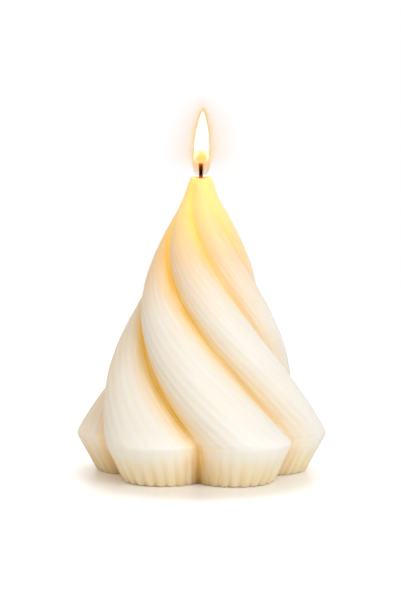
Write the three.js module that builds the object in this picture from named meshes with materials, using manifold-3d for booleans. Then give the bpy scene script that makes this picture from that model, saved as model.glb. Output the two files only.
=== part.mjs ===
// Spiral candle: a moulded wax cone of twisted and ribbed lobes on a tapered foot, with a cotton wick, lit.
// Millimetres, +Z up. The origin is the middle of the foot, on the surface that the candle stands on.
// The front faces -Y, and angles round the candle are counted from the front towards +X.
import * as THREE from 'three';
import { mergeVertices } from 'three/addons/utils/BufferGeometryUtils.js';
import Module from 'manifold-3d';

const wasm = await Module();
wasm.setup();

// Wax body
const footRadius = 41.5;
const shoulderRadius = 50;
const shoulderHeight = 14.8;
// The soft shoulder loses about two thirds of this from its radius, and has a ring of its own just below it
const shoulderSoftness = 0.6;
const shoulderBlend = 1.4;
const bodyHeight = 116.8;
const topRadius = 3.8;
const topEdgeRound = 0.5;
// How far the slope is drawn in near the shoulder and swells out near the top
const slopeSwell = 0.7;

// Lobes and the grooves between them
const lobeCount = 6;
const footGrooveDepth = 11;
const shoulderGrooveDepth = 11.8;
const topGrooveDepth = 0.45;
// Softness of the grooves' bottoms, which fills each bottom by about two thirds of it
const footGrooveSoftness = 0.8;
const shoulderGrooveSoftness = 1.3;
const topGrooveSoftness = 0.15;
// Direction of the groove that faces the front, at the foot
const frontGrooveDegrees = -2.2;
const twistDegrees = 183;
// Share of the twist that is held back low down and made up high up
const twistEase = 0.28;

// Ribs that run along the lobes, one of them on each crest
const ribsPerLobe = 12;
const footRibDepth = 1.1;
const shoulderRibDepth = 0.32;
const topRibDepth = 0.06;
// The ribs end beside a groove by this power of the way there from the crest
const ribEndPower = 8;
// Above the shoulder the ribs on the crest are wider than those by the grooves, by this share
const crestRibSpread = 0.2;

// Dish that the flame has melted into the top, lower at the front
const dishFrontDip = 1.5;
const dishSag = 0.9;
const dishBackLedge = 0.6;

// Wick
const wickDiameter = 1.4;
const wickClearance = 0.3;
const wickFootRecess = 0.3;
const wickStandout = 5.2;
const wickHeadDiameter = 1.8;
const wickHeadLength = 1.3;

// Flame
const flameDiameter = 7.2;
const flameNeckDiameter = 3.6;
const flameHeight = 26.4;
const flameBellyHeight = 5.6;
const flameGap = 0.6;
const flameLean = 0.7;

// Fineness of the surfaces
const pointsPerRib = 2;
const rowsAboveShoulder = 36;
const wickSides = 12;
const boreSides = 16;
const dishSides = 48;
const flameSides = 24;
const flameRows = 18;
const bellyRows = 6;

// How far a cutter runs past the wax that it cuts
const cutterOverrun = 2;

const lobeAngle = 2 * Math.PI / lobeCount;
const pointsPerLobe = ribsPerLobe * pointsPerRib;
const columns = lobeCount * pointsPerLobe;
const wickRadius = wickDiameter / 2;
const wickHeadRadius = wickHeadDiameter / 2;
const wickTop = bodyHeight + wickStandout;

/** A value that runs evenly from the foot to the shoulder, and evenly again from there to the top. */
function along(z, foot, shoulder, top) {
  if (z < shoulderHeight) {
    return THREE.MathUtils.mapLinear(z, 0, shoulderHeight, foot, shoulder);
  }
  return THREE.MathUtils.mapLinear(z, shoulderHeight, bodyHeight, shoulder, top);
}

/** Share of the way from the shoulder to the top, 0 below the shoulder. */
function shareUp(z) {
  return Math.max(0, (z - shoulderHeight) / (bodyHeight - shoulderHeight));
}

/** The larger of two lengths, and a little more than that where they are nearly the same. */
function softMaximum(a, b, softness) {
  return Math.max(a, b) + softness * Math.log1p(Math.exp(-Math.abs(a - b) / softness));
}

/**
 * Radius of the lobes' crests. The foot's line rises outwards and the slope's line falls inwards. The smaller
 * of the two counts, softly at the shoulder. A sine gives the slope a slight S.
 */
function crestRadius(z) {
  const footLine = THREE.MathUtils.mapLinear(z, 0, shoulderHeight, footRadius, shoulderRadius);
  const slopeLine = THREE.MathUtils.mapLinear(z, shoulderHeight, bodyHeight, shoulderRadius, topRadius);
  const smaller = -softMaximum(-footLine, -slopeLine, shoulderSoftness);
  return smaller - slopeSwell * Math.sin(2 * Math.PI * shareUp(z));
}

/** Angle of the first lobe's crest at a height. Going up, the lobes swing from the front to the left. */
function crestAngle(z) {
  const share = shareUp(z);
  const turned = (1 - twistEase) * share + twistEase * share * share;
  return THREE.MathUtils.degToRad(frontGrooveDegrees - twistDegrees * turned) + lobeAngle / 2;
}

/** Distance from the axis to a lobe's arc, at an angle from the lobe's crest. */
function lobeReach(bearing, centre, arcRadius) {
  const aside = centre * Math.sin(bearing);
  return centre * Math.cos(bearing) + Math.sqrt(Math.max(0, arcRadius ** 2 - aside ** 2));
}

/**
 * One level of the body, as a ring of points. Each lobe is a round arc through its crest and the two grooves
 * beside it. A soft maximum of neighbouring lobes rounds the groove's bottom. The ribs are rounded, as the
 * upper halves of a cosine wave that has a peak on the crest.
 */
function bodyRing(z, inset) {
  const radius = crestRadius(z) - inset;
  const valley = radius - along(z, footGrooveDepth, shoulderGrooveDepth, topGrooveDepth);
  const half = lobeAngle / 2;
  const centre = (radius ** 2 - valley ** 2) / (2 * (radius - valley * Math.cos(half)));
  const arcRadius = radius - centre;
  const arcHalf = Math.atan2(valley * Math.sin(half), valley * Math.cos(half) - centre);
  const softness = along(z, footGrooveSoftness, shoulderGrooveSoftness, topGrooveSoftness);
  const ribDepth = along(z, footRibDepth, shoulderRibDepth, topRibDepth);
  const spread = along(z, 0, crestRibSpread, crestRibSpread) / Math.PI;
  const ring = [];
  for (let i = 0; i < columns; i++) {
    const lobe = Math.floor(i / pointsPerLobe);
    const share = 2 * (i % pointsPerLobe) / pointsPerLobe - 1;
    const turn = arcHalf * (share + spread * Math.sin(Math.PI * share));
    const cut = 1 - Math.abs(Math.cos(Math.PI * share * ribsPerLobe / 2));
    const reach = arcRadius - ribDepth * cut * (1 - share ** ribEndPower);
    const across = reach * Math.sin(turn);
    const out = centre + reach * Math.cos(turn);
    const bearing = Math.atan2(across, out);
    const nextLobe = lobeReach(lobeAngle - Math.abs(bearing), centre, arcRadius);
    const distance = softMaximum(Math.hypot(across, out), nextLobe, softness);
    const angle = crestAngle(z) + lobe * lobeAngle + bearing;
    ring.push(new THREE.Vector3(distance * Math.sin(angle), -distance * Math.cos(angle), z));
  }
  return ring;
}

/** Heights of the body's rings: foot, just below the shoulder, then even steps from it to the top's edge. */
function ringHeights() {
  const heights = [0, shoulderHeight - shoulderBlend];
  const edge = bodyHeight - topEdgeRound;
  for (let i = 0; i <= rowsAboveShoulder; i++) {
    heights.push(THREE.MathUtils.lerp(shoulderHeight, edge, i / rowsAboveShoulder));
  }
  return heights;
}

/** A closed skin over a stack of rings, with a flat fan at each end. */
function skinOver(rings) {
  const count = rings[0].length;
  const points = rings.flat();
  const bottom = points.length;
  points.push(new THREE.Vector3(0, 0, rings[0][0].z));
  const top = points.length;
  points.push(new THREE.Vector3(0, 0, rings.at(-1)[0].z));
  const faces = [];
  for (let row = 0; row < rings.length - 1; row++) {
    for (let i = 0; i < count; i++) {
      const a = row * count + i;
      const b = row * count + (i + 1) % count;
      faces.push(a, b, b + count);
      faces.push(a, b + count, a + count);
    }
  }
  const last = (rings.length - 1) * count;
  for (let i = 0; i < count; i++) {
    const next = (i + 1) % count;
    faces.push(bottom, next, i);
    faces.push(top, last + i, last + next);
  }
  const geometry = new THREE.BufferGeometry().setFromPoints(points);
  geometry.setIndex(faces);
  return geometry;
}

/** A solid for cutting, from a closed geometry. */
function solidOf(geometry) {
  const plain = geometry.clone();
  plain.deleteAttribute('normal');
  plain.deleteAttribute('uv');
  const merged = mergeVertices(plain);
  return new wasm.Manifold(new wasm.Mesh({
    numProp: 3,
    vertProperties: new Float32Array(merged.attributes.position.array),
    triVerts: new Uint32Array(merged.index.array),
  }));
}

/** The geometry of a solid. */
function geometryOf(solid) {
  const mesh = solid.getMesh();
  const geometry = new THREE.BufferGeometry();
  geometry.setAttribute('position', new THREE.BufferAttribute(mesh.vertProperties, 3));
  geometry.setIndex(new THREE.BufferAttribute(mesh.triVerts, 1));
  return geometry;
}

/** A round bar that stands on the given height. */
function uprightBar(radius, from, to, sides) {
  const bar = new THREE.CylinderGeometry(radius, radius, to - from, sides);
  bar.rotateX(Math.PI / 2);
  bar.translate(0, 0, (from + to) / 2);
  return bar;
}

/**
 * The ball that scoops the dish. In the middle plane its arc starts at a ledge behind the wick, ends on the
 * lowered front lip, and sags below the line between the two.
 */
function dishBall() {
  const back = new THREE.Vector2(topRadius - topEdgeRound - dishBackLedge, bodyHeight);
  const lipHeight = bodyHeight - dishFrontDip;
  const lip = new THREE.Vector2(-crestRadius(lipHeight), lipHeight);
  const chord = back.clone().sub(lip);
  const halfChord = chord.length() / 2;
  const ballRadius = (halfChord ** 2 + dishSag ** 2) / (2 * dishSag);
  const rise = ballRadius - dishSag;
  const centre = back.clone().add(lip).multiplyScalar(0.5);
  centre.x -= rise * chord.y / chord.length();
  centre.y += rise * chord.x / chord.length();
  const ball = new THREE.SphereGeometry(ballRadius, dishSides, dishSides / 2);
  ball.translate(0, centre.x, centre.y);
  return ball;
}

/** Wax body: the ribbed lobes, bored through for the wick, with the dish in its top. */
function waxBody() {
  const rings = ringHeights().map((z) => bodyRing(z, 0));
  rings.push(bodyRing(bodyHeight, topEdgeRound));
  const bore = uprightBar(wickRadius + wickClearance, -cutterOverrun, bodyHeight + cutterOverrun, boreSides);
  return geometryOf(solidOf(skinOver(rings)).subtract(solidOf(dishBall())).subtract(solidOf(bore)));
}

/** A body turned about the upright axis, from radius and height pairs that start and end on the axis. */
function turned(profile, sides) {
  const geometry = new THREE.LatheGeometry(profile.map(([r, z]) => new THREE.Vector2(r, z)), sides);
  geometry.rotateX(Math.PI / 2);
  return geometry;
}

/** Wick: a round cord from just above the foot to past the top, with a charred head that flares a little. */
function wick() {
  const head = wickTop - wickHeadLength;
  return turned([
    [0, wickFootRecess],
    [wickRadius, wickFootRecess],
    [wickRadius, bodyHeight],
    [wickRadius, head],
    [wickHeadRadius, head + wickHeadLength * 0.5],
    [wickHeadRadius * 0.85, wickTop - wickHeadLength * 0.15],
    [0, wickTop],
  ], wickSides);
}

/** Flame: a teardrop that stands clear of the wax and the wick, open below, its tip leaning to the right. */
function flame() {
  const base = bodyHeight + flameGap;
  const belly = base + flameBellyHeight;
  const tip = base + flameHeight;
  const radius = flameDiameter / 2;
  const neck = flameNeckDiameter / 2;
  const coreRadius = wickHeadRadius + wickClearance;
  const profile = [
    [0, wickTop + wickClearance],
    [coreRadius, wickTop + wickClearance],
    [coreRadius, base],
  ];
  for (let i = 0; i <= bellyRows; i++) {
    const bend = i / bellyRows * Math.PI / 2;
    profile.push([neck + (radius - neck) * Math.sin(bend), base + flameBellyHeight * (1 - Math.cos(bend))]);
  }
  for (let i = 1; i < flameRows; i++) {
    const share = Math.sin(i / flameRows * Math.PI / 2);
    profile.push([radius * (1 - share ** 2) ** 0.75, THREE.MathUtils.lerp(belly, tip, share)]);
  }
  profile.push([0, tip]);
  const geometry = turned(profile, flameSides);
  const place = geometry.attributes.position;
  const leanFrom = wickTop + wickClearance;
  for (let i = 0; i < place.count; i++) {
    const share = Math.max(0, (place.getZ(i) - leanFrom) / (tip - leanFrom));
    place.setX(i, place.getX(i) + flameLean * share);
  }
  return geometry;
}

/** A named piece in its own colour. */
function piece(name, geometry, color, roughness) {
  const mesh = new THREE.Mesh(geometry, new THREE.MeshStandardMaterial({ color, roughness, metalness: 0 }));
  mesh.name = name;
  return mesh;
}

const candle = new THREE.Group();
candle.add(piece('wax_body', waxBody(), '#f3e8cf', 0.45));
candle.add(piece('wick', wick(), '#2b2019', 0.9));
candle.add(piece('flame', flame(), '#ffd768', 0.5));

export default candle;
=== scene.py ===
# %% [markdown]
# A spiral candle, lit: a cone of cast wax with twisted and ribbed lobes, a cotton wick and a flame. The
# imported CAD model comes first, as a fixed frame. Its solids are coarse, because they are made for size
# and collision. Each one is then replaced by a finer surface, which follows the same formulas in the same
# place.

# %% Frame
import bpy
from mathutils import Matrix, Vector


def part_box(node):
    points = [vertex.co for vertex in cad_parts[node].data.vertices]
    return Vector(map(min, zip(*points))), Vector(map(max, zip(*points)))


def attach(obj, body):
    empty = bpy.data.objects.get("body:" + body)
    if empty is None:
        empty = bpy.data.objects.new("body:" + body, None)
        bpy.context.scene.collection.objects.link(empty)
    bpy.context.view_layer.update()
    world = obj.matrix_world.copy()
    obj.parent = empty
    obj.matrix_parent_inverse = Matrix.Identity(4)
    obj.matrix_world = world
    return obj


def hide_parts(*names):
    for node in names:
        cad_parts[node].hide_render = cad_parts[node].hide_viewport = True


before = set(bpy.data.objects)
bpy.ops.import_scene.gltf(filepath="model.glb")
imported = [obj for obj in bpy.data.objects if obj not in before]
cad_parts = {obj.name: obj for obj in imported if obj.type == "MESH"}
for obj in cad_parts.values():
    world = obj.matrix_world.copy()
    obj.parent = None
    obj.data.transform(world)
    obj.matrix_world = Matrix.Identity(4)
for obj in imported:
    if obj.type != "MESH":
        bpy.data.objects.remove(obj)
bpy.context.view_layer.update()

import bpy
import numpy as np

MM = 0.001
print("CAD nodes:", sorted(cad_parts))

# %% [markdown]
# The camera stands where the photograph was taken from. A close, level view makes the front of the foot
# bulge down below its sides, and that bulge gives the distance: 370 mm from the candle's axis. The lens
# follows from the distance, because it has to show the candle at its size in the photograph.

# %% Camera
PHOTO_HEIGHT_PX = 601
FOCAL_PX = 926.5
MM_PER_PX = 0.3992
AXIS_RIGHT_OF_MIDDLE_PX = 0.68
EYE_HEIGHT_PX = 168.0

camera = bpy.data.objects.new("camera", bpy.data.cameras.new("camera"))
bpy.context.scene.collection.objects.link(camera)
camera.data.lens = camera.data.sensor_width * FOCAL_PX / PHOTO_HEIGHT_PX
camera.location = np.array([-AXIS_RIGHT_OF_MIDDLE_PX, -FOCAL_PX, EYE_HEIGHT_PX]) * MM_PER_PX * MM
camera.rotation_euler = (np.pi / 2, 0, 0)
camera.data.clip_start = 0.01
bpy.context.scene.camera = camera
bpy.context.scene.view_settings.view_transform = "Standard"
print("lens %.1f mm" % camera.data.lens)

# %% [markdown]
# Sizes of the real candle, in millimetres. The heights come from the frame, and the rest are the sizes
# that shape the wax: a short foot that widens up to a shoulder, and a long slope up to a narrow top. The
# ribs are deep at the foot, where the mould is fluted, nearly vanish at the shoulder and are faint on the
# slope.

# %% Sizes
BODY_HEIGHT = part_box("wax_body")[1].z / MM
WICK_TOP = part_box("wick")[1].z / MM
FLAME_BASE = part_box("flame")[0].z / MM
FLAME_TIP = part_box("flame")[1].z / MM
FOOT_RADIUS = 41.5
SHOULDER_RADIUS = 50.0
SHOULDER_HEIGHT = 14.8
TOP_RADIUS = 3.7
NECK_DEPTH = 0.6
NECK_HEIGHT = 107.5
NECK_REACH = 5.0
SLOPE_SWELL = 0.7
LOBES = 6
FOOT_GROOVE = 11.0
SHOULDER_GROOVE = 11.8
TOP_GROOVE = 0.45
FRONT_GROOVE_DEGREES = -2.2
TWIST_DEGREES = 183
TWIST_EASE = 0.28
TWIST_REST = 0.11
RIBS_PER_LOBE = 12
RIB_DEPTHS = [1.1, 0.45, 0.1, 0.2, 0.03]
RIB_DEPTH_HEIGHTS = [0.0, 7.0, 12.0, 20.0, 105.0]
RIB_END_POWER = 4
CREST_RIB_SPREAD = 0.2
FOOT_GROOVE_ROUND = 0.8
SHOULDER_GROOVE_ROUND = 1.3
TOP_GROOVE_ROUND = 1.0
BORE_RADIUS = 1.0
LOBE_ANGLE = 2 * np.pi / LOBES
print("wax %.1f mm, wick to %.1f mm, flame to %.1f mm" % (BODY_HEIGHT, WICK_TOP, FLAME_TIP))

# %% [markdown]
# Every new piece is a closed surface on a grid of points, so one helper turns a grid into a mesh. Numpy
# works out all the points at once, which is fast and keeps each shape readable as a formula. The helper
# measures the volume that the faces enclose: where it comes out negative the surface is inside out, and
# the faces are turned round.

# %% Grid helper
def closed_surface(name, grid, joined_rows=False):
    """
    A mesh from a grid of points, rows by columns, in millimetres, or from a stack of such grids, one inside
    the next. The last column joins the first. The last row joins the first too, as on a ring, or else a fan
    closes each end. The volume is the sum, over the triangles, of a sixth of the corners' triple product.
    """
    grids = grid.reshape(-1, *grid.shape[-3:])
    count, rows, columns, _ = grids.shape
    index = np.arange(count * rows * columns).reshape(count, rows, columns)
    low, high = (index, np.roll(index, -1, axis=1)) if joined_rows else (index[:, :-1], index[:, 1:])
    low_next, high_next = np.roll(low, -1, axis=2), np.roll(high, -1, axis=2)
    quads = np.stack([low, low_next, high_next, high], axis=-1).reshape(-1, 4)
    points = grids.reshape(-1, 3)
    triangles = np.vstack([quads[:, [0, 1, 2]], quads[:, [0, 2, 3]]])
    fans = np.zeros((0, 3), int)
    if not joined_rows:
        middles = len(points) + np.arange(2 * count).reshape(2, count, 1) + 0 * index[:1, :1]
        points = np.vstack([points, grids[:, 0].mean(axis=1), grids[:, -1].mean(axis=1)])
        start = np.stack([np.roll(index[:, 0], -1, axis=1), index[:, 0], middles[0]], axis=-1)
        end = np.stack([index[:, -1], np.roll(index[:, -1], -1, axis=1), middles[1]], axis=-1)
        fans = np.vstack([start.reshape(-1, 3), end.reshape(-1, 3)])
    corners = points[np.vstack([triangles, fans])]
    volume = np.einsum("ij,ij->i", corners[:, 0], np.cross(corners[:, 1], corners[:, 2])).sum() / 6
    turn = -1 if volume < 0 else 1
    mesh = bpy.data.meshes.new(name)
    mesh.from_pydata((points * MM).tolist(), [], quads[:, ::turn].tolist() + fans[:, ::turn].tolist())
    mesh.polygons.foreach_set("use_smooth", np.ones(len(mesh.polygons), bool))
    piece = bpy.data.objects.new(name, mesh)
    bpy.context.scene.collection.objects.link(piece)
    print("%s: %d faces, %.2f cm3" % (name, len(mesh.polygons), abs(volume) / 1000))
    return piece


def store(piece, name, values):
    """Keeps one number a point on the mesh, for its material. Points past the grid, in the fans, get 0."""
    field = piece.data.attributes.new(name, "FLOAT", "POINT")
    padded = np.zeros(len(piece.data.vertices), np.float32)
    padded[:values.size] = values.ravel()
    field.data.foreach_set("value", padded)


# %% [markdown]
# The wax body is poured into a silicone mould in one piece. Its outline at any height is six round arcs,
# and going up, that outline shrinks and turns half a turn to the left. Sweeping one outline up a path
# could make it, but the ribs, the foot and the melted top change with height. So a formula gives the
# outline for any height and place.

# %% Outline of the wax
SHOULDER_SOFTNESS = 0.6


def along(z, foot, shoulder, top):
    """A value that runs straight from the foot to the shoulder, and straight again to the top."""
    return np.interp(z, [0, SHOULDER_HEIGHT, BODY_HEIGHT], [foot, shoulder, top])


def share_up(z):
    """Share of the way from the shoulder to the top, 0 below the shoulder."""
    return np.clip((z - SHOULDER_HEIGHT) / (BODY_HEIGHT - SHOULDER_HEIGHT), 0, None)


def crest_radius(z):
    """
    Radius of the crests. The foot's line rises outwards and the slope's line falls inwards. The smaller of
    the two counts, with a soft minimum that rounds the shoulder, less a sine that makes the slope a slight
    S. A bell curve draws in the neck just below the top, where the flame has softened the wax.
    """
    foot_line = FOOT_RADIUS + (SHOULDER_RADIUS - FOOT_RADIUS) * z / SHOULDER_HEIGHT
    fall = (TOP_RADIUS - SHOULDER_RADIUS) / (BODY_HEIGHT - SHOULDER_HEIGHT)
    slope_line = SHOULDER_RADIUS + fall * (z - SHOULDER_HEIGHT)
    soft = SHOULDER_SOFTNESS
    lower = -soft * np.logaddexp(-foot_line / soft, -slope_line / soft)
    neck = NECK_DEPTH * np.exp(-((z - NECK_HEIGHT) / NECK_REACH) ** 2)
    return lower - SLOPE_SWELL * np.sin(2 * np.pi * share_up(z)) - neck


def crest_angle(z):
    """Angle of the first crest, from the front to the right. The twist speeds up and rests near the top."""
    share = share_up(z)
    turned = (1 - TWIST_EASE) * share + TWIST_EASE * share ** 2 - TWIST_REST * share ** 6
    return np.radians(FRONT_GROOVE_DEGREES - TWIST_DEGREES * turned) + LOBE_ANGLE / 2


def rib_wave(share, z):
    """
    0 on top of a rib and 1 between two: 1 less the size of a cosine that peaks on the crest. Above the foot
    the cosine is squared, which makes the ribs soft. A power of the share ends the ribs beside the groove.
    """
    ridge = np.abs(np.cos(np.pi * share * RIBS_PER_LOBE / 2)) ** along(z, 1, 2, 2)
    return (1 - ridge) * (1 - np.abs(share) ** RIB_END_POWER)


def lobe_reach(bearing, centre, arc_radius):
    """Distance from the axis to a lobe's arc, at a bearing from its crest."""
    aside = centre * np.sin(bearing)
    return centre * np.cos(bearing) + np.sqrt(np.clip(arc_radius ** 2 - aside ** 2, 0, None))


def outline(z, place, inset=0.0):
    """
    X and Y of the wax at height z. place counts lobes, whole in a groove and a half on a crest. A lobe is
    the arc through its crest and its two grooves. The ribs take their depth off the arc's radius. The larger
    of this lobe and the next one counts, with a soft maximum that rounds the groove between them.
    """
    share = 2 * (place % 1) - 1
    radius = crest_radius(z) - inset
    valley = radius - along(z, FOOT_GROOVE, SHOULDER_GROOVE, TOP_GROOVE)
    half = LOBE_ANGLE / 2
    centre = (radius ** 2 - valley ** 2) / (2 * (radius - valley * np.cos(half)))
    arc_radius = radius - centre
    arc_half = np.arctan2(valley * np.sin(half), valley * np.cos(half) - centre)
    spread = along(z, 0, CREST_RIB_SPREAD, CREST_RIB_SPREAD) / np.pi
    turn = arc_half * (share + spread * np.sin(np.pi * share))
    reach = arc_radius - np.interp(z, RIB_DEPTH_HEIGHTS, RIB_DEPTHS) * rib_wave(share, z)
    across = reach * np.sin(turn)
    out = centre + reach * np.cos(turn)
    bearing = np.arctan2(across, out)
    beside = lobe_reach(LOBE_ANGLE - np.abs(bearing), centre, arc_radius)
    soft = along(z, FOOT_GROOVE_ROUND, SHOULDER_GROOVE_ROUND, TOP_GROOVE_ROUND)
    distance = soft * np.logaddexp(np.hypot(across, out) / soft, beside / soft)
    angle = crest_angle(z) + np.floor(place) * LOBE_ANGLE + bearing
    return distance * np.sin(angle), -distance * np.cos(angle)


# %% [markdown]
# The flame has melted a small dish into the top, and its front lip has run down lower than its back. The
# dish is a scoop out of a ball, whose arc in the middle plane starts on a ledge behind the wick and ends
# on the front lip.

# %% Melted dish
DISH_FRONT_DIP = 1.5
DISH_SAG = 0.9
DISH_BACK_LEDGE = 0.6
RIM_ROUND = 0.5
RIM_LUMP = 0.4
RIM_LUMP_DEGREES = 80
RIM_LUMP_SPREAD_DEGREES = 28

lip_height = BODY_HEIGHT - DISH_FRONT_DIP
dish_back = np.array([TOP_RADIUS - RIM_ROUND - DISH_BACK_LEDGE, BODY_HEIGHT])
dish_lip = np.array([-crest_radius(lip_height), lip_height])
chord = dish_back - dish_lip
half_chord = np.hypot(*chord) / 2
ball_radius = (half_chord ** 2 + DISH_SAG ** 2) / (2 * DISH_SAG)
across_chord = np.array([-chord[1], chord[0]]) / (2 * half_chord)
ball_y, ball_z = (dish_back + dish_lip) / 2 + (ball_radius - DISH_SAG) * across_chord


def dish_height(x, y):
    """Height of the top of the wax: the ball's underside, and flat where the ball is above the body."""
    inside = np.clip(ball_radius ** 2 - x ** 2 - (y - ball_y) ** 2, 0, None)
    return np.minimum(BODY_HEIGHT, ball_z - np.sqrt(inside))


def rim_height(place):
    """Height of the rim round the top, where the wall meets the dish, found by steps from the top."""
    height = np.full_like(place, BODY_HEIGHT)
    for _ in range(6):
        height = dish_height(*outline(height, place, RIM_ROUND))
    return height


def rim_lump(bearing):
    """Extra height of the rim where it is least melted: a bell curve about a place on each side."""
    aside = np.abs(bearing) - np.radians(RIM_LUMP_DEGREES)
    return RIM_LUMP * np.exp(-(aside / np.radians(RIM_LUMP_SPREAD_DEGREES)) ** 2)


print("dish %.1f mm deep at its lowest" % (BODY_HEIGHT - ball_z + ball_radius))

# %% [markdown]
# Now the skin of the body, as one grid. Its rows start at the edge of the wick's hole under the foot, run
# out over the bottom, up the outside, over the rim, across the dish and down the hole, back to where they
# started. A skin that closes on itself both ways has no poles to pinch the shading. Eight points to a rib
# keep the ribs round.

# %% Wax body
POINTS_PER_RIB = 8
FOOT_ROUND = 0.8
SHOULDER_BAND = 1.2
MELT_ZONE = 8.0
COLUMNS = LOBES * RIBS_PER_LOBE * POINTS_PER_RIB

place = (np.arange(COLUMNS) / (RIBS_PER_LOBE * POINTS_PER_RIB))[None, :]
rim = rim_height(place)
rim_x, rim_y = outline(rim, place, RIM_ROUND)
rim = rim + rim_lump(np.arctan2(rim_x, -rim_y))


def lay_rows(x, y, z):
    """Rows of points, from X, Y and Z that have one value a row or one value a point."""
    return np.stack(np.broadcast_arrays(x, y, z), axis=-1)


def on_wall(z, inset=0.0):
    """Rows of points on the outside, one row for each height."""
    return lay_rows(*outline(z, place, inset), z)


def towards(start, end, shares):
    """Rows between two rows of points, at the given shares of the way."""
    return start[None] + (end - start)[None] * shares[:, None, None]


foot_bend = np.linspace(0, np.pi / 2, 4)[:, None]
foot_edge = on_wall(FOOT_ROUND * (1 - np.cos(foot_bend)), FOOT_ROUND * (1 - np.sin(foot_bend)))
low_heights = np.concatenate([
    np.linspace(FOOT_ROUND, SHOULDER_HEIGHT - SHOULDER_BAND, 14)[1:],
    np.linspace(SHOULDER_HEIGHT - SHOULDER_BAND, SHOULDER_HEIGHT + SHOULDER_BAND, 9)[1:],
    np.linspace(SHOULDER_HEIGHT + SHOULDER_BAND, BODY_HEIGHT - MELT_ZONE, 96)[1:],
])
wall = on_wall(low_heights[:, None])
melt_start = BODY_HEIGHT - MELT_ZONE
melt_wall = on_wall(melt_start + (rim - RIM_ROUND - melt_start) * np.linspace(0, 1, 11)[1:, None])
rim_bend = np.linspace(0, np.pi / 2, 5)[1:, None]
rim_edge = on_wall(rim - RIM_ROUND * (1 - np.sin(rim_bend)), RIM_ROUND * (1 - np.cos(rim_bend)))

bearing = np.arctan2(rim_edge[-1, :, 0], -rim_edge[-1, :, 1])
bore_x = BORE_RADIUS * np.sin(bearing)
bore_y = -BORE_RADIUS * np.cos(bearing)
bore_top = lay_rows(bore_x, bore_y, dish_height(bore_x, bore_y))
bore_foot = lay_rows(bore_x, bore_y, 0.0)
dish = towards(rim_edge[-1], bore_top, np.linspace(0, 1, 10)[1:])
left_of_lump = np.linspace(1, 0, 10)[1:, None] ** 2
dish[..., 2] = dish_height(dish[..., 0], dish[..., 1]) + rim_lump(bearing) * left_of_lump
bore = towards(bore_top, bore_foot, np.linspace(0, 1, 7)[1:])
bottom = towards(bore_foot, foot_edge[0], np.linspace(0, 1, 7)[1:-1])
skin = np.concatenate([bottom, foot_edge, wall, melt_wall, rim_edge, dish, bore])
print("skin of %d rows and %d columns" % skin.shape[:2])

# %% [markdown]
# Cast wax is never as exact as a formula. It shrinks a little unevenly as it sets, so the whole wall
# wavers by a tenth of a millimetre. A sculpted mesh could show this, but two slow waves round the body,
# at different slants, do it to the same grid. Each has a count of waves round the body, and a rise in
# millimetres for each radian that it slants.

# %% Cast softness
WAVER = 0.12
WAVES = ((3, 17.0), (5, -11.0))

bearings = np.arctan2(skin[..., 0], -skin[..., 1])
waves = sum(np.sin(count * bearings + skin[..., 2] / rise) for count, rise in WAVES) / len(WAVES)
distance = np.hypot(skin[..., 0], skin[..., 1])
outer = np.clip((distance - 2 * TOP_RADIUS) / TOP_RADIUS, 0, 1)
skin[..., :2] *= (1 + outer * WAVER * waves / np.maximum(distance, 1))[..., None]

wax_body = closed_surface("wax_candle_body", skin, joined_rows=True)

# %% [markdown]
# The wax material needs to know where it is on a lobe. Light that reaches a groove has passed through wax
# and bounced from wall to wall, and each bounce takes some blue, so a groove looks golden. That gold is
# painted into the colour, as painted light and shade. So each point keeps how deep in the groove it is, how
# deep between two ribs, and how far round the lobe, for streaks that follow the ribs. The painted gold
# reaches well out of the groove on each lobe's left flank, and on its right flank it widens towards the
# flame. The key lamp stands on the right, so painted light makes the grooves there a little paler, and
# painted shade makes the far left yellower.

# %% Marks for the wax material
LEFT_FLANK_REACH = 0.8
RIGHT_FLANK_REACH = (0.55, 1.0)
PALE_SIDE = 0.2
SHADED_SIDE_GOLD = 0.5

share = 2 * (place % 1) - 1
on_outside = np.zeros(len(skin))
on_outside[len(bottom):len(skin) - len(dish) - len(bore)] = 1
right_reach = along(skin[..., 2], RIGHT_FLANK_REACH[0], *RIGHT_FLANK_REACH)
groove_reach = np.where(share < 0, LEFT_FLANK_REACH, right_reach)
depth_share = np.clip((np.abs(share) - 1) / groove_reach + 1, 0, 1)
# Painted light: less gold in the grooves on the right, where the key lamp shines.
deeper = 1 - PALE_SIDE * np.sin(bearings)
# Painted shade: the far left, turned from the key lamp, gets some gold over its whole surface.
shaded_side_gold = SHADED_SIDE_GOLD * np.clip((-np.sin(bearings) - 0.6) / 0.4, 0, 1)
store(wax_body, "groove", on_outside[:, None] * np.maximum(depth_share * deeper, shaded_side_gold))
store(wax_body, "between_ribs", on_outside[:, None] * rib_wave(share, 0.0))
store(wax_body, "round_lobe", np.broadcast_to(place, skin.shape[:2]))
print("marked %d rows of the wall" % on_outside.sum())

# %% [markdown]
# Materials are node trees. One small helper adds a node, sets what it is told and makes its links.
# Colours are written as the sRGB hex values that the eye reads off a screen, and one function turns them
# into the linear numbers that light adds up in.

# %% Material helpers
def linear(code):
    """sRGB hex to linear red, green, blue and full alpha: a power of 2.4 above a short straight start."""
    srgb = np.array([int(code[i:i + 2], 16) for i in (1, 3, 5)]) / 255
    rgb = np.where(srgb <= 0.04045, srgb / 12.92, ((srgb + 0.055) / 1.055) ** 2.4)
    return [*rgb.tolist(), 1.0]


def add(tree, kind, links=None, stops=None, **settings):
    """Adds a node. links gives sockets an output or a value, stops are a ramp's places and colours."""
    node = tree.nodes.new("ShaderNode" + kind)
    for name, value in settings.items():
        setattr(node, name, value)
    for name, value in (links or {}).items():
        if isinstance(value, bpy.types.NodeSocket):
            tree.links.new(value, node.inputs[name])
        else:
            node.inputs[name].default_value = value
    for i, (position, code) in enumerate(stops or []):
        points = node.color_ramp.elements
        point = points[i] if i < len(points) else points.new(position)
        point.position = position
        point.color = linear(code)
    return node


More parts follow.
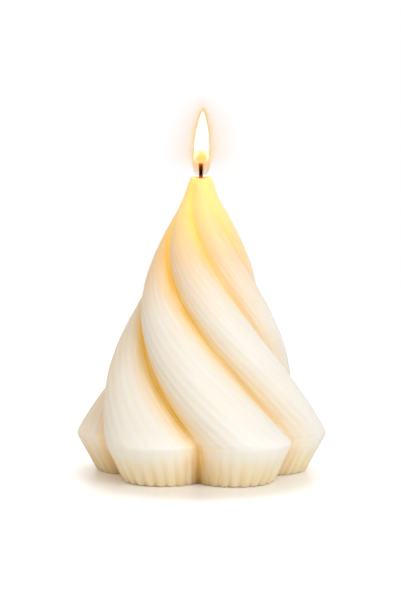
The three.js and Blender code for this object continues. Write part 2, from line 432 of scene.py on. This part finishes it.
def new_material(name):
    """An empty material: its node tree and its output."""
    material = bpy.data.materials.new(name)
    material.use_nodes = True
    material.node_tree.nodes.clear()
    return material, material.node_tree, add(material.node_tree, "OutputMaterial")


# %% [markdown]
# The body is paraffin wax with some stearin, which makes it ivory and cloudy. It was poured into a smooth
# mould. The flame's light soaks down the tip: yellow at the rim, peach further down, ivory below, and this
# light is painted into the colour. One plain colour would lose it, so one ramp over the height colours the
# crests and another the grooves. Both paint shade at the bottom of the foot, by the floor, and the crests
# are painted lighter just under the shoulder. A power keeps the painted gold close to the bottom of the
# groove.

# %% Wax colours
GOLD_FALLOFF = 2.2

wax, tree, output = new_material("ivory_poured_paraffin")
coordinates = add(tree, "TexCoord")
height = add(tree, "SeparateXYZ", {"Vector": coordinates.outputs["Object"]}).outputs["Z"]
level = add(tree, "MapRange", {"Value": height, "From Max": BODY_HEIGHT * MM}).outputs["Result"]
groove = add(tree, "Attribute", attribute_name="groove").outputs["Fac"]
between_ribs = add(tree, "Attribute", attribute_name="between_ribs").outputs["Fac"]
round_lobe = add(tree, "Attribute", attribute_name="round_lobe").outputs["Fac"]

# Painted light: flame light near the top and a lighter band under the shoulder; painted shade at the foot.
crest_colour = add(tree, "ValToRGB", {"Fac": level}, stops=[
    (0.0, "#f4deae"), (0.05, "#fbecca"), (0.1, "#fffaf0"), (0.14, "#fbf7f0"), (0.5, "#f8f3eb"),
    (0.62, "#f8e8d4"), (0.72, "#f8dab4"), (0.80, "#f9dca2"), (0.88, "#fbdf9a"), (0.96, "#fade8a"),
    (1.0, "#fbe08a")])
# Painted light and shade: the grooves' gold, deepest at the foot and yellow near the flame.
groove_colour = add(tree, "ValToRGB", {"Fac": level}, stops=[
    (0.0, "#ac7810"), (0.07, "#cc9c2a"), (0.14, "#d8ae40"), (0.45, "#e2b84a"), (0.6, "#ecbc48"),
    (0.72, "#f4c04c"), (0.8, "#facd60"), (0.88, "#fcd774"), (1.0, "#fbda7a")])
deep = add(tree, "Math", {0: groove, 1: GOLD_FALLOFF}, operation="POWER").outputs["Value"]
tinted = add(tree, "Mix", {"Factor": deep, 6: crest_colour.outputs["Color"],
                           7: groove_colour.outputs["Color"]}, data_type="RGBA").outputs[2]
print("wax colours:", len(tree.nodes), "nodes")

# %% [markdown]
# Up close the wax isn't even. It sets in clouds of about a centimetre, and pale streaks run along the ribs.
# Painted detail would do, but noise stays sharp at any distance. The hollows between ribs are painted
# yellower, as painted shade, most on the foot. The streaks are noise too, read by the place round the lobe
# and the height, which stretches it along the ribs. They fade towards the flame, which has melted the skin
# smooth. A painted highlight whitens the shoulder in patches, and the same clouds say where.

# %% Wax clouds, streaks, painted rib shade and painted shoulder highlight
CLOUD_MM = 9.0
STREAKS_PER_LOBE = 26
STREAK_MM = 14.0
SHOULDER_HIGHLIGHT = 10.0

cloud = add(tree, "TexNoise", {"Vector": coordinates.outputs["Object"], "Scale": 1 / (CLOUD_MM * MM),
                               "Detail": 3.0}).outputs["Fac"]
cloudy = add(tree, "MapRange", {"Value": cloud, "From Min": 0.3, "From Max": 0.7,
                                "To Max": 0.1}).outputs["Result"]
clouded = add(tree, "Mix", {"Factor": cloudy, 6: tinted, 7: linear("#efe0bd")}, data_type="RGBA").outputs[2]

# Painted shade in the hollows between ribs, strongest on the foot.
rib_share = add(tree, "MapRange", {"Value": level, "From Max": 0.14, "To Min": 0.3,
                                   "To Max": 0.08}).outputs["Result"]
rib_shade = add(tree, "Math", {0: between_ribs, 1: rib_share}, operation="MULTIPLY").outputs["Value"]
ribbed = add(tree, "Mix", {"Factor": rib_shade, 6: clouded, 7: linear("#ecd7a4")},
             data_type="RGBA").outputs[2]

across_flow = add(tree, "Math", {0: round_lobe, 1: STREAKS_PER_LOBE}, operation="MULTIPLY").outputs["Value"]
along_flow = add(tree, "Math", {0: height, 1: 1 / (STREAK_MM * MM)}, operation="MULTIPLY").outputs["Value"]
flow = add(tree, "CombineXYZ", {"X": across_flow, "Y": along_flow}).outputs["Vector"]
streak = add(tree, "TexNoise", {"Vector": flow, "Scale": 1.0, "Detail": 2.0}).outputs["Fac"]
frost = add(tree, "MapRange", {"Value": streak, "From Min": 0.45, "From Max": 0.75,
                               "To Max": 0.4}).outputs["Result"]
unmelted = add(tree, "MapRange", {"Value": level, "From Min": 0.6, "From Max": 0.85,
                                  "To Min": 1.0, "To Max": 0.2}).outputs["Result"]
frost = add(tree, "Math", {0: frost, 1: unmelted}, operation="MULTIPLY").outputs["Value"]
frosted = add(tree, "Mix", {"Factor": frost, 6: ribbed, 7: linear("#fffdf6")}, data_type="RGBA").outputs[2]

# Painted highlight: a white band round the shoulder, in patches where the clouds are.
shoulder_highlight = add(tree, "ValToRGB", {"Fac": level}, stops=[
    (0.08, "#000000"), (0.12, "#b0b0b0"), (0.14, "#b0b0b0"), (0.2, "#000000")])
shoulder_highlight = add(tree, "Math", {0: shoulder_highlight.outputs["Color"], 1: cloudy}, operation="MULTIPLY").outputs["Value"]
shoulder_highlight = add(tree, "Math", {0: shoulder_highlight, 1: SHOULDER_HIGHLIGHT}, operation="MULTIPLY").outputs["Value"]
highlighted = add(tree, "Mix", {"Factor": shoulder_highlight, 6: frosted, 7: linear("#ffffff")}, data_type="RGBA").outputs[2]
print("with clouds, streaks and wear:", len(tree.nodes), "nodes")

# %% [markdown]
# The flame's light goes into the tip and shines out again lower down. A stronger lamp would light only
# the outside, so this light is painted in as a glow of the wax itself: a ramp over the height, more golden
# deep in the grooves, and more yellow there near the flame. The ramp also paints a faint glow at the
# shoulder, for lamp light that sinks in at the slope, and the golden glow in the grooves runs down the
# whole body, fading out towards the bottom of the foot.

# %% Painted light soaked into the wax
GOLD_GLOW = 0.16
YELLOW_GLOW = 0.12
YELLOW_FALLOFF = 3.0

# Painted light: a faint glow at the shoulder and a warm glow near the top.
glow_colour = add(tree, "ValToRGB", {"Fac": level}, stops=[
    (0.0, "#000000"), (0.1, "#40382c"), (0.17, "#100e0c"), (0.5, "#000000"), (0.66, "#302012"),
    (0.78, "#60441c"), (0.9, "#806230"), (1.0, "#8a6c3c")])
# Painted light: a golden glow deep in the grooves.
gold_glow = add(tree, "MapRange", {"Value": level, "From Max": 0.12, "To Max": GOLD_GLOW}).outputs["Result"]
gold_share = add(tree, "Math", {0: deep, 1: gold_glow}, operation="MULTIPLY").outputs["Value"]
golden = add(tree, "Mix", {"Factor": gold_share, 6: glow_colour.outputs["Color"],
                           7: linear("#ffc400")}, data_type="RGBA").outputs[2]
yellow_glow = add(tree, "MapRange", {"Value": level, "From Min": 0.55, "From Max": 0.8,
                                     "To Max": YELLOW_GLOW}).outputs["Result"]
deepest = add(tree, "Math", {0: groove, 1: YELLOW_FALLOFF}, operation="POWER").outputs["Value"]
yellow_share = add(tree, "Math", {0: deepest, 1: yellow_glow}, operation="MULTIPLY").outputs["Value"]
shining = add(tree, "Mix", {"Factor": yellow_share, 6: golden, 7: linear("#ffd000")},
              data_type="RGBA").outputs[2]
print("with soaked light:", len(tree.nodes), "nodes")

# %% [markdown]
# Poured wax has a satin skin with a very fine grain, and light that enters it spreads a few millimetres,
# red furthest, so edges look lit from inside. Subsurface scattering shows that at its real scale. Two
# bumps, the grain and the streaks, are less than an eighth of a millimetre high.

# %% Wax skin
WAX_IOR = 1.44
WAX_ROUGHNESS = (0.36, 0.5)
LIGHT_SPREAD_MM = 4.0
GRAIN_MM = 0.9
GRAIN_HEIGHT_MM = 0.06
STREAK_HEIGHT_MM = 0.12

grain = add(tree, "TexNoise", {"Vector": coordinates.outputs["Object"], "Scale": 1 / (GRAIN_MM * MM),
                               "Detail": 4.0}).outputs["Fac"]
fine = add(tree, "Bump", {"Height": grain, "Strength": 0.25,
                          "Distance": GRAIN_HEIGHT_MM * MM}).outputs["Normal"]
bump = add(tree, "Bump", {"Height": streak, "Strength": 0.5, "Distance": STREAK_HEIGHT_MM * MM,
                          "Normal": fine}).outputs["Normal"]
roughness = add(tree, "MapRange", {"Value": streak, "To Min": WAX_ROUGHNESS[0],
                                   "To Max": WAX_ROUGHNESS[1]}).outputs["Result"]
wax_shader = add(tree, "BsdfPrincipled", {
    "Base Color": highlighted, "Roughness": roughness, "IOR": WAX_IOR, "Normal": bump,
    "Specular IOR Level": 0.4, "Subsurface Weight": 0.6, "Subsurface Radius": (1.0, 0.88, 0.55),
    "Subsurface Scale": LIGHT_SPREAD_MM * MM, "Emission Color": shining, "Emission Strength": 1.0})
tree.links.new(wax_shader.outputs["BSDF"], output.inputs["Surface"])
wax_body.data.materials.append(wax)
print("whole wax material:", len(tree.nodes), "nodes")

# %% [markdown]
# Molten wax lies in the dish as a thin clear film, deeper towards the low front lip. A glossy patch on
# the wax would look flat, so it is a closed ring round the wick: its underside follows the dish, and its
# top is the higher of a thin film and the level of the liquid, with a soft maximum between the two.

# %% Molten wax
FILM = 0.12
FILM_GAP = 0.02
FILM_EDGE = 0.01
FILM_TO_WICK_HOLE = 0.05
FILM_TO_WALL = 0.4
FILM_SIDE_PULL = 0.2
POOL_BELOW_LIP = 0.05
POOL_SOFTNESS = 0.08

ring_places = np.linspace(0, 2 * np.pi, 96, endpoint=False)[None, :]
ring_shares = np.linspace(0, 1, 14)[:, None]
inner_radius = BORE_RADIUS + FILM_TO_WICK_HOLE
sideways = np.abs(np.sin(ring_places))
outer_radius = (TOP_RADIUS - RIM_ROUND - FILM_TO_WALL) * (1 - FILM_SIDE_PULL * sideways)
ring_radius = inner_radius + (outer_radius - inner_radius) * ring_shares
ring_x = ring_radius * np.sin(ring_places)
ring_y = -ring_radius * np.cos(ring_places)
under = dish_height(ring_x, ring_y) + FILM_GAP
pool_level = lip_height - POOL_BELOW_LIP
swell = FILM * np.sin(np.pi * np.clip(ring_shares, 0.02, 0.98)) + FILM_EDGE
top = POOL_SOFTNESS * np.logaddexp((under + swell) / POOL_SOFTNESS, pool_level / POOL_SOFTNESS)
film = np.concatenate([lay_rows(ring_x, ring_y, under), lay_rows(ring_x, ring_y, top)[::-1]])
molten_wax = closed_surface("molten_wax", film, joined_rows=True)

# %% [markdown]
# Melted paraffin is a clear and very smooth liquid, with a slight amber tint from the wax that it lies
# on. Real glass bends would cost many samples on a film this thin, so it is a glossy coat with some
# see-through, and a faint warm glow stands for the flame's light in it.

# %% Molten wax material
molten, tree, output = new_material("molten_paraffin")
molten_shader = add(tree, "BsdfPrincipled", {
    "Base Color": linear("#ffcb70"), "Roughness": 0.06, "IOR": 1.43, "Alpha": 0.75,
    "Emission Color": linear("#d98f3c"), "Emission Strength": 0.35})
tree.links.new(molten_shader.outputs["BSDF"], output.inputs["Surface"])
molten_wax.data.materials.append(molten)
print(molten.name, "has", len(tree.nodes), "nodes")

# %% [markdown]
# The wick is a braid of cotton, about 1.5 mm thick. Above the wax it is charred black. Its tip flares and
# glows where the carbon burns. Its foot, where hot wax climbs it, has a rusty glow that is painted light
# from the flame. A braid is two sets of strands that wind opposite ways, so the higher of two slanted
# waves raises the strands out of a plain cord. Modelling each strand would do it too, but at this size
# nobody could tell.

# %% Wick
WICK_RADIUS = 0.76
WICK_HEAD_RADIUS = 0.9
WICK_HEAD = 1.3
WICK_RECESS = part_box("wick")[0].z / MM
STRANDS = 4
BRAID_PITCH = 2.6
STRAND_RISE = 0.1
WICK_BEND = -0.1
WICK_BEND_BELOW_LIP = 2.0
WICK_BEND_LENGTH = 3.0
WICK_FINE_LENGTH = 9.0
WICK_END_ROUND = 0.35
WICK_FORK = 0.25
WICK_FORK_LENGTH = 0.8

wick_turn = np.linspace(0, 2 * np.pi, 40, endpoint=False)[None, :]
fine_from = WICK_TOP - WICK_FINE_LENGTH
wick_heights = np.concatenate([np.linspace(WICK_RECESS, fine_from, 60)[:-1],
                               np.linspace(fine_from, WICK_TOP, 110)])
wick_z = wick_heights[:, None]
flare = np.clip(1 - np.abs(wick_z - (WICK_TOP - WICK_HEAD / 2)) / WICK_HEAD, 0, 1)
core_radius = WICK_RADIUS + (WICK_HEAD_RADIUS - WICK_RADIUS) * flare
one_way = np.cos(STRANDS * wick_turn + 2 * np.pi * wick_z / BRAID_PITCH)
other_way = np.cos(STRANDS * wick_turn - 2 * np.pi * wick_z / BRAID_PITCH)
cord_radius = core_radius - STRAND_RISE * (1 - np.maximum(one_way, other_way)) / 2
to_end = (1 - (WICK_TOP - wick_z) / WICK_END_ROUND).clip(0, 1)
cord_radius = cord_radius * np.sqrt(np.clip(1 - to_end ** 2, 0.02, 1))
tip_share = np.clip((wick_z - WICK_TOP + WICK_FORK_LENGTH) / WICK_FORK_LENGTH, 0, 1)
fork = WICK_FORK * tip_share * np.cos(2 * wick_turn)
wick_bend = WICK_BEND * np.clip((wick_z - lip_height + WICK_BEND_BELOW_LIP) / WICK_BEND_LENGTH, 0, 1)
wick_grid = lay_rows(cord_radius * np.cos(wick_turn) + wick_bend, cord_radius * np.sin(wick_turn),
                     wick_z + fork - WICK_FORK * tip_share)
wick = closed_surface("braided_wick", wick_grid)

# %% [markdown]
# Above the wax the cotton is burnt to soft, dull carbon. At the tip the carbon glows orange, and at the
# wax the cord is only scorched, rusty brown. One ramp over the height gives the colour and another the
# glow: the glow at the tip is the burning carbon, and the rusty glow at the wax is painted light from the
# flame. Fine noise makes their borders ragged, as fibres burn.

# %% Wick material
FIBRE_MM = 0.5
RAGGED_MM = 0.25

charred, tree, output = new_material("charred_cotton")
coordinates = add(tree, "TexCoord")
height = add(tree, "SeparateXYZ", {"Vector": coordinates.outputs["Object"]}).outputs["Z"]
fibre = add(tree, "TexNoise", {"Vector": coordinates.outputs["Object"],
                               "Scale": 1 / (FIBRE_MM * MM)}).outputs["Fac"]
ragged = add(tree, "MapRange", {"Value": fibre, "To Min": -RAGGED_MM * MM,
                                "To Max": RAGGED_MM * MM}).outputs["Result"]
ragged_height = add(tree, "Math", {0: height, 1: ragged}, operation="ADD").outputs["Value"]
out_of_wax = add(tree, "MapRange", {"Value": ragged_height, "From Min": lip_height * MM,
                                    "From Max": WICK_TOP * MM}).outputs["Result"]
char_colour = add(tree, "ValToRGB", {"Fac": out_of_wax}, stops=[
    (0.0, "#c98a4a"), (0.12, "#8a3c12"), (0.25, "#200a04"), (0.35, "#050202"), (0.78, "#050202"),
    (1.0, "#3a1508")])
# Glow: the real ember at the tip, and painted flame light on the scorched foot.
ember_and_flame_light = add(tree, "ValToRGB", {"Fac": out_of_wax}, stops=[
    (0.0, "#d07020"), (0.13, "#b03408"), (0.25, "#701800"), (0.36, "#000000"), (0.72, "#000000"),
    (0.84, "#8c2c0c"), (0.93, "#e8642c"), (1.0, "#ff9050")])
wick_bump = add(tree, "Bump", {"Height": fibre, "Strength": 0.6, "Distance": 0.05 * MM}).outputs["Normal"]
char_shader = add(tree, "BsdfPrincipled", {
    "Base Color": char_colour.outputs["Color"], "Roughness": 0.9, "Specular IOR Level": 0.1,
    "Normal": wick_bump, "Emission Color": ember_and_flame_light.outputs["Color"], "Emission Strength": 1.0})
tree.links.new(char_shader.outputs["BSDF"], output.inputs["Surface"])
wick.data.materials.append(charred)
print(charred.name, "has", len(tree.nodes), "nodes")

# %% [markdown]
# A flame is glowing gas, and the camera sees it in layers. Outside is a thin amber mantle. Inside it is
# the white body, far brighter than anything else in view. Low down sits a yellow heart, where the wax
# vapour is still cool. Round the wick the gas is almost clear, so there the mantle only tints what is
# behind it. A volume would be slow and noisy at this size. Nested teardrops show the same from every
# side, because each layer is seen through the one outside it, and the heart has five of them, so that it
# has no hard edge.

# %% Flame layers
FLAME_RADIUS = 3.6
FLAME_NECK = 1.8
BELLY = FLAME_BASE + 5.6
FLAME_LEAN = 0.7
CORD_GAP = 0.3
MANTLE_SHARPNESS = 0.6
WHITE_START = WICK_TOP - 0.6
WHITE_BELLY = BELLY + 1.7
WHITE_TIP = FLAME_TIP - 1.3
WHITE_RADIUS = 3.05
WHITE_SHARPNESS = 0.8
HEART_LAYERS = 5
HEART_SMALLEST = 0.45
HEART_START = WICK_TOP - 2.5
HEART_BELLY = WICK_TOP + 0.3
HEART_TIP = WICK_TOP + 1.4
HEART_RISE = 4.5
HEART_RADIUS = 2.6
HEART_SHARPNESS = 1.2

flame_turn = np.linspace(0, 2 * np.pi, 64, endpoint=False)[None, :]


def leaning(radius, z):
    """Rings of the given radius at the given heights, moved right by an even lean from the wick's tip."""
    lean_from = WICK_TOP + CORD_GAP
    lean = FLAME_LEAN * np.clip((z - lean_from) / (FLAME_TIP - lean_from), 0, None)
    return lay_rows(radius * np.cos(flame_turn) + lean, radius * np.sin(flame_turn), z)


def teardrop(low, belly, tip, radius, sharpness, neck=0.0):
    """
    A teardrop. Below the belly the radius follows a quarter sine out from the neck. Above it the radius is
    1 less the square of the height's share, to a power: the higher the power, the slimmer the point.
    """
    bend = np.linspace(0.06, np.pi / 2, 16)[:, None]
    lower = leaning(neck + (radius - neck) * np.sin(bend), belly - (belly - low) * np.cos(bend))
    share = np.sin(np.linspace(0, np.pi / 2, 40)[1:-1])[:, None]
    upper = leaning(radius * (1 - share ** 2) ** sharpness, belly + (tip - belly) * share)
    return np.concatenate([lower, upper])


def mantle_rows():
    """The mantle is open below: its inner wall stands clear of the wick and closes above the wick's tip."""
    outside = teardrop(FLAME_BASE, BELLY, FLAME_TIP, FLAME_RADIUS, MANTLE_SHARPNESS, FLAME_NECK)
    cavity_heights = np.linspace(WICK_TOP + CORD_GAP, FLAME_BASE, 8)[:, None]
    cavity = leaning(np.full_like(cavity_heights, WICK_HEAD_RADIUS + CORD_GAP), cavity_heights)
    return np.concatenate([cavity, outside])


flame_mantle = closed_surface("flame_mantle", mantle_rows())
white_rows = teardrop(WHITE_START, WHITE_BELLY, WHITE_TIP, WHITE_RADIUS, WHITE_SHARPNESS)
flame_body = closed_surface("flame_body", white_rows)
heart_layers = np.stack([
    teardrop(HEART_START, HEART_BELLY, HEART_TIP + HEART_RISE * size, HEART_RADIUS * size, HEART_SHARPNESS)
    for size in np.linspace(1, HEART_SMALLEST, HEART_LAYERS)])
flame_heart = closed_surface("flame_heart", heart_layers)

# %% [markdown]
# Each layer mixes a clear shader and a glowing one by height. High up the mantle shines amber. Low down
# it is a clear tint, like coloured glass with no thickness. The white body shines at more than 1, as a
# light source does, so the layers in front of it can't dull it. Each ray crosses many layers, so the
# limit for clear ones is raised.

# %% Flame materials
WHITE_STRENGTH = 5.0


def flame_level(tree, low, high):
    """How far up the flame a point is, from 0 at one height to 1 at another."""
    height = add(tree, "SeparateXYZ", {"Vector": add(tree, "TexCoord").outputs["Object"]}).outputs["Z"]
    return add(tree, "MapRange", {"Value": height, "From Min": low * MM,
                                  "From Max": high * MM}).outputs["Result"]


def glowing_gas(piece, material, output, colour, share, strength=1.0, tint=(1, 1, 1, 1)):
    """Mixes a clear shader with a glowing one by the share, and gives the material to its piece."""
    tree = material.node_tree
    clear = add(tree, "BsdfTransparent", {"Color": tint})
    shine = add(tree, "Emission", {"Color": colour, "Strength": strength})
    both = add(tree, "MixShader", {"Fac": share, 1: clear.outputs["BSDF"], 2: shine.outputs["Emission"]})
    tree.links.new(both.outputs["Shader"], output.inputs["Surface"])
    piece.data.materials.append(material)
    print(material.name, "has", len(tree.nodes), "nodes")


amber, tree, output = new_material("burning_gas_amber")
level = flame_level(tree, FLAME_BASE, FLAME_TIP)
amber_colour = add(tree, "ValToRGB", {"Fac": level}, stops=[
    (0.0, "#edf0c7"), (0.5, "#edf0c7"), (1.0, "#f0ecc0")])
amber_share = add(tree, "ValToRGB", {"Fac": level}, stops=[
    (0.0, "#000000"), (0.3, "#000000"), (0.42, "#b0b0b0"), (1.0, "#c0c0c0")])
tint = add(tree, "ValToRGB", {"Fac": level}, stops=[
    (0.0, "#faf4ec"), (0.04, "#f8ede0"), (0.1, "#fceedd"), (0.165, "#fff1de"), (0.2, "#fffae4"),
    (0.26, "#fffff2"), (0.4, "#f8f4e4"), (1.0, "#ffffff")])
glowing_gas(flame_mantle, amber, output, amber_colour.outputs["Color"], amber_share.outputs["Color"],
            tint=tint.outputs["Color"])

white, tree, output = new_material("burning_gas_white")
level = flame_level(tree, WHITE_START, WICK_TOP + 7)
white_share = add(tree, "ValToRGB", {"Fac": level}, stops=[
    (0.0, "#000000"), (0.12, "#343434"), (0.4, "#4c4c4c"), (0.62, "#545454"), (0.78, "#808080"),
    (0.96, "#ffffff")])
glowing_gas(flame_body, white, output, linear("#fffdf0"), white_share.outputs["Color"], WHITE_STRENGTH)

yellow, tree, output = new_material("burning_gas_yellow")
level = flame_level(tree, WICK_TOP - 0.9, WICK_TOP + 5.6)
heart_colour = add(tree, "ValToRGB", {"Fac": level}, stops=[
    (0.0, "#f4cc98"), (0.3, "#f0c850"), (0.5, "#f2cc00"), (0.7, "#f4e400"), (0.85, "#fafa60"),
    (1.0, "#fcffb0")])
heart_share = add(tree, "ValToRGB", {"Fac": level}, stops=[
    (0.0, "#000000"), (0.16, "#202020"), (0.3, "#707070"), (0.42, "#a0a0a0"), (0.8, "#a0a0a0"),
    (1.0, "#505050")])
glowing_gas(flame_heart, yellow, output, heart_colour.outputs["Color"], heart_share.outputs["Color"])
bpy.context.scene.cycles.transparent_max_bounces = 64

# %% [markdown]
# The air round a flame seems to glow, because its light scatters in the eye and in the lens. A blur over
# the finished picture is the usual way, but it is no part of the model. So thin clear shells in one mesh,
# each a little wider than the last, each add a breath of orange. The wanted cover falls off with distance
# as two exponentials do and ends at the reach. The eye crosses each shell twice, in front and behind, so
# a square root splits its share. The shares fade out towards the wick, which stays black.

# %% Glow in the air
GLOW_LAYERS = 24
GLOW_REACH_MM = 13.0
GLOW_START = WICK_TOP - 4.5
GLOW_FADE_MM = 9.0
GLOW_BELLY = BELLY + 1.5
GLOW_TIP_RISE = 0.5
GLOW_BELOW_TIP = 0.2
GLOW_INSIDE_MANTLE = 0.25
NEAR_GLOW = 0.36
NEAR_GLOW_MM = 1.7
FAR_GLOW = 0.26
FAR_GLOW_MM = 9.0

widths = GLOW_REACH_MM * np.linspace(0.15, 1, GLOW_LAYERS) ** 2
tips = FLAME_TIP - GLOW_BELOW_TIP + GLOW_TIP_RISE * widths
radii = FLAME_RADIUS - GLOW_INSIDE_MANTLE + widths
air_layers = np.stack([teardrop(GLOW_START, GLOW_BELLY, tip, radius, MANTLE_SHARPNESS)
                       for tip, radius in zip(tips, radii)])
glow = closed_surface("flame_glow", air_layers)
brightness = NEAR_GLOW * np.exp(-widths / NEAR_GLOW_MM) + FAR_GLOW * np.exp(-widths / FAR_GLOW_MM)
cover = brightness * (1 - (widths / GLOW_REACH_MM) ** 3)
left_clear = np.append(1 - cover, 1)
layer_shares = 1 - np.sqrt(left_clear[:-1] / left_clear[1:])
above_wick = np.clip((air_layers[..., 2] - GLOW_START) / GLOW_FADE_MM, 0, 1)
above_wick = above_wick ** 2 * (3 - 2 * above_wick)
store(glow, "share", layer_shares[:, None, None] * above_wick)
glow.visible_shadow = False
glow.visible_diffuse = False
print("shares from %.3f by the flame to %.3f outside" % (layer_shares[0], layer_shares[-1]))

# %% [markdown]
# Lit air is clear with a breath of orange in it. The same mix of clear and glowing does for it, with the
# share that each shell keeps. An even share for all would draw a visible rim round the outermost shell.

# %% Glow material
lit_air, tree, output = new_material("lit_air")
air_share = add(tree, "Attribute", attribute_name="share").outputs["Fac"]
glowing_gas(glow, lit_air, output, linear("#feb900"), air_share)

# %% [markdown]
# The stage is a white floor in a white room. The floor takes the candle's shadow and a faint reflection.
# To the camera it adds a little light of its own, more and more with distance from a place just in front
# of the candle's middle, which lifts the open floor to white and leaves the shadow in place. Near the
# candle it adds little, so a patch centred in front of the candle stays darker: painted shade, on top of
# the real shadow. The room is white to the camera, and dimmer and a little warm as a light.

# %% Floor and room
FLOOR_SIZE = 40.0
NEAR_LIFT = 0.08
FAR_LIFT = 0.7
NEAR_DISTANCE = 0.036
FAR_DISTANCE = 0.068
SHADE_CENTRE = (0.0, -0.012, 0.0)
ROOM_LIGHT = 0.56

corner = FLOOR_SIZE / 2
floor_mesh = bpy.data.meshes.new("floor")
floor_corners = [(-corner, -corner, 0), (corner, -corner, 0), (corner, corner, 0), (-corner, corner, 0)]
floor_mesh.from_pydata(floor_corners, [], [(0, 1, 2, 3)])
floor = bpy.data.objects.new("floor", floor_mesh)
bpy.context.scene.collection.objects.link(floor)

paint, tree, output = new_material("white_floor_paint")
path = add(tree, "LightPath")
spot = add(tree, "TexCoord").outputs["Object"]
away = add(tree, "VectorMath", {0: spot, 1: SHADE_CENTRE}, operation="DISTANCE").outputs["Value"]
# Painted shade: the lift is small close to the candle, so the floor round its foot stays darker.
lift = add(tree, "MapRange", {"Value": away, "From Min": NEAR_DISTANCE, "From Max": FAR_DISTANCE,
                              "To Min": NEAR_LIFT, "To Max": FAR_LIFT}, interpolation_type="SMOOTHSTEP")
lift = add(tree, "Math", {0: path.outputs["Is Camera Ray"], 1: lift.outputs["Result"]},
           operation="MULTIPLY")
floor_shader = add(tree, "BsdfPrincipled", {
    "Base Color": linear("#f2f2f2"), "Roughness": 0.3, "Specular IOR Level": 0.25,
    "Emission Color": linear("#ffffff"), "Emission Strength": lift.outputs["Value"]})
tree.links.new(floor_shader.outputs["BSDF"], output.inputs["Surface"])
floor.data.materials.append(paint)

world = bpy.data.worlds.new("white_room")
bpy.context.scene.world = world
world.use_nodes = True
tree = world.node_tree
tree.nodes.clear()
path = add(tree, "LightPath")
seen = add(tree, "Math", {0: path.outputs["Is Camera Ray"], 1: path.outputs["Is Glossy Ray"]},
           operation="MAXIMUM")
seen = add(tree, "Math", {0: seen.outputs["Value"], 1: path.outputs["Is Transmission Ray"]},
           operation="MAXIMUM")
strength = add(tree, "MapRange", {"Value": seen.outputs["Value"], "To Min": ROOM_LIGHT, "To Max": 1.0})
room_colour = add(tree, "Mix", {"Factor": seen.outputs["Value"], 6: linear("#fff6ea"),
                                7: linear("#ffffff")}, data_type="RGBA").outputs[2]
background = add(tree, "Background", {"Color": room_colour, "Strength": strength.outputs["Result"]})
add(tree, "OutputWorld", {"Surface": background.outputs["Background"]})

# %% [markdown]
# Soft studio light: a large cool key from the front right and above, and a weak warm fill from the front
# left, which keeps the shaded side tan and not grey. A small warm lamp stands where the flame burns.

# %% Lamps
def soft_box(name, place, size, watts, colour, target=(0, 0, 0.055)):
    """A square area lamp that faces the candle."""
    lamp = bpy.data.objects.new(name, bpy.data.lights.new(name, "AREA"))
    bpy.context.scene.collection.objects.link(lamp)
    lamp.data.size = size
    lamp.data.energy = watts
    lamp.data.color = linear(colour)[:3]
    lamp.location = place
    away = np.array(place) - np.array(target)
    flat = np.hypot(away[0], away[1])
    lamp.rotation_euler = (np.arctan2(flat, away[2]), 0, np.arctan2(away[0], -away[1]))
    return lamp


soft_box("key", (0.35, -0.55, 0.5), 0.5, 3.0, "#f6f9ff")
soft_box("fill", (-0.6, -0.4, 0.3), 0.5, 0.5, "#ffd49c")
flame_light = bpy.data.objects.new("flame_light", bpy.data.lights.new("flame_light", "POINT"))
bpy.context.scene.collection.objects.link(flame_light)
flame_light.data.energy = 0.012
flame_light.data.color = linear("#ffb45c")[:3]
flame_light.data.shadow_soft_size = 0.003
flame_light.location = (0, 0, (FLAME_TIP + WICK_TOP) / 2 * MM)

# %% [markdown]
# Last, each piece rides on the candle's one body, and the CAD solids are hidden. The sizes of the CAD
# model and of the finished one are kept, so that the two can be compared.

# %% Hand over
solid_slots = [(wax_body, "wax"), (molten_wax, "wax"), (wick, "wick_cotton")]
gas_slots = [(gas, "flame_glow") for gas in (flame_mantle, flame_body, flame_heart, glow)]
for piece, slot_name in solid_slots + gas_slots:
    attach(piece, "root")
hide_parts("wax_body")
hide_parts("wick")
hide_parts("flame")
